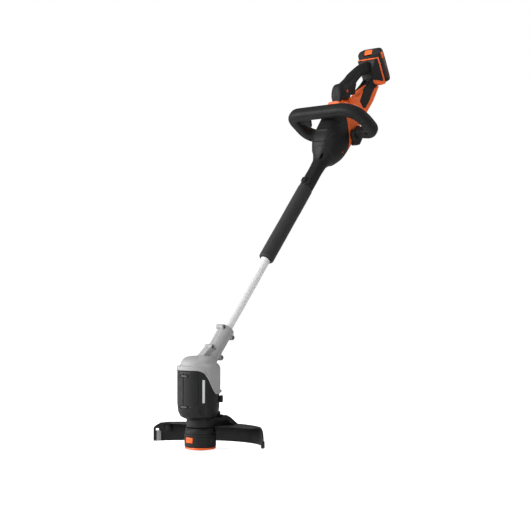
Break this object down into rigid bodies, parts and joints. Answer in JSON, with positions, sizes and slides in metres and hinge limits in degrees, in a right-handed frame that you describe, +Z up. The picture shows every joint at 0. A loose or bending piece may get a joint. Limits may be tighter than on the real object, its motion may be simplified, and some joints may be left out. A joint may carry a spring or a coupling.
{
  "type": "string trimmer",
  "caption": "Cordless string trimmer with an angled two-piece shaft, loop handle, slide-on battery, motor head with line spool, and a wide rear guard.",
  "frame": {"origin": "centre of the spool cap's flat underside, on the axis the spool turns about", "axes": "+Z up along the spool's axis, +Y towards the user (the way the shaft leans as it rises), X across; X = 0 is the plane of symmetry"},
  "size_m": [0.38, 0.7958, 1.0842],
  "materials": {
    "black_plastic": "satin moulded black plastic",
    "soft_grip": "soft over-moulded grip",
    "foam": "closed-cell foam",
    "gray_plastic": "satin moulded gray plastic",
    "orange_plastic": "semi-gloss orange plastic",
    "aluminium": "bright drawn tube",
    "steel": "plain steel",
    "copper": "copper windings",
    "nylon_line": "nylon cutting line",
    "circuit_board": "coated circuit board",
    "cell_wrap": "shrink wrap"
  },
  "bodies": {
    "power_head": {"front_housing_left": "black_plastic", "front_housing_right": "black_plastic", "body_shell_left": "orange_plastic", "body_shell_right": "orange_plastic", "grip_shell_left": "soft_grip", "grip_shell_right": "soft_grip", "strut_inlay_left": "soft_grip", "strut_inlay_right": "soft_grip", "battery_dock": "black_plastic", "dock_rim": "orange_plastic", "terminal_block": "black_plastic", "control_board": "circuit_board", "power_switch": "black_plastic", "trigger_spring": "steel", "outer_tube": "black_plastic", "foam_sleeve": "foam", "sleeve_collar": "black_plastic", "handle_hub_left": "black_plastic", "handle_hub_right": "black_plastic"},
    "swivel_collar": {"guide_collar": "black_plastic"},
    "lower_shaft": {"lower_tube": "aluminium", "inner_cable": "black_plastic", "head_cover_left": "gray_plastic", "head_cover_right": "gray_plastic", "neck_screw_1": "steel", "neck_screw_2": "steel", "neck_screw_3": "steel", "neck_screw_4": "steel", "motor_barrel": "black_plastic", "front_panel": "black_plastic", "rear_stop": "black_plastic", "motor_can": "steel", "lower_bearing": "steel", "upper_bearing": "steel", "guard": "black_plastic", "guard_screw_1": "steel", "guard_screw_2": "steel", "line_cutter_blade": "steel"},
    "spool_head": {"motor_shaft": "steel", "armature": "copper", "cooling_fan": "black_plastic", "spool_housing": "black_plastic", "cap_cup": "black_plastic", "cap_floor": "orange_plastic", "line_eyelet_left": "steel", "line_eyelet_right": "steel", "line_spool": "black_plastic", "wound_line": "nylon_line", "spool_spring": "steel"},
    "release_front": {"release_tab_front": "orange_plastic"},
    "release_rear": {"release_tab_rear": "orange_plastic"},
    "trigger": {"trigger": "soft_grip"},
    "lock_off": {"lock_off_button": "orange_plastic"},
    "loop": {"loop_handle": "soft_grip"},
    "loop_button": {"angle_button": "black_plastic"},
    "battery": {"battery_case": "black_plastic", "battery_cover": "black_plastic", "cell_pack": "cell_wrap"},
    "battery_button": {"battery_release": "orange_plastic"}
  },
  "joints": [
    {"name": "edging_swivel", "type": "hinge", "parent": "power_head", "child": "swivel_collar", "pos_m": [0, 0.24193, 0.47356], "axis": [0, 0.6361, 0.7716], "range_deg": [0, 180]},
    {"name": "shaft_length", "type": "slide", "parent": "swivel_collar", "child": "lower_shaft", "axis": [0, -0.6361, -0.7716], "range_m": [-0.1, 0.04]},
    {"name": "spool_spin", "type": "hinge", "parent": "lower_shaft", "child": "spool_head", "pos_m": [0, 0, 0], "axis": [0, 0, 1], "continuous": true},
    {"name": "release_tab_front_press", "type": "slide", "parent": "spool_head", "child": "release_front", "axis": [0, 1, 0], "range_m": [0, 0.002], "stiffness_N_per_m": 900, "springref_m": -0.001},
    {"name": "release_tab_rear_press", "type": "slide", "parent": "spool_head", "child": "release_rear", "axis": [0, -1, 0], "range_m": [0, 0.002], "stiffness_N_per_m": 900, "springref_m": -0.001},
    {"name": "trigger_pull", "type": "hinge", "parent": "power_head", "child": "trigger", "pos_m": [0, 0.60811, 0.97909], "axis": [-1, 0, 0], "range_deg": [0, 8], "stiffness_Nm_per_rad": 1.2, "springref_deg": -5.73},
    {"name": "lock_off_press", "type": "slide", "parent": "power_head", "child": "lock_off", "axis": [1, 0, 0], "range_m": [-0.002, 0.002], "stiffness_N_per_m": 800},
    {"name": "loop_tilt", "type": "hinge", "parent": "power_head", "child": "loop", "pos_m": [0, 0.55159, 0.82091], "axis": [1, 0, 0], "range_deg": [-10, 20]},
    {"name": "loop_button_press", "type": "slide", "parent": "loop", "child": "loop_button", "axis": [-1, 0, 0], "range_m": [0, 0.002], "stiffness_N_per_m": 900, "springref_m": -0.001},
    {"name": "battery_slide", "type": "slide", "parent": "power_head", "child": "battery", "axis": [0, -0.4305, 0.9026], "range_m": [0, 0.1]},
    {"name": "battery_release_press", "type": "slide", "parent": "battery", "child": "battery_button", "axis": [0, 0.4305, -0.9026], "range_m": [0, 0.0025], "stiffness_N_per_m": 900, "springref_m": -0.001}
  ]
}
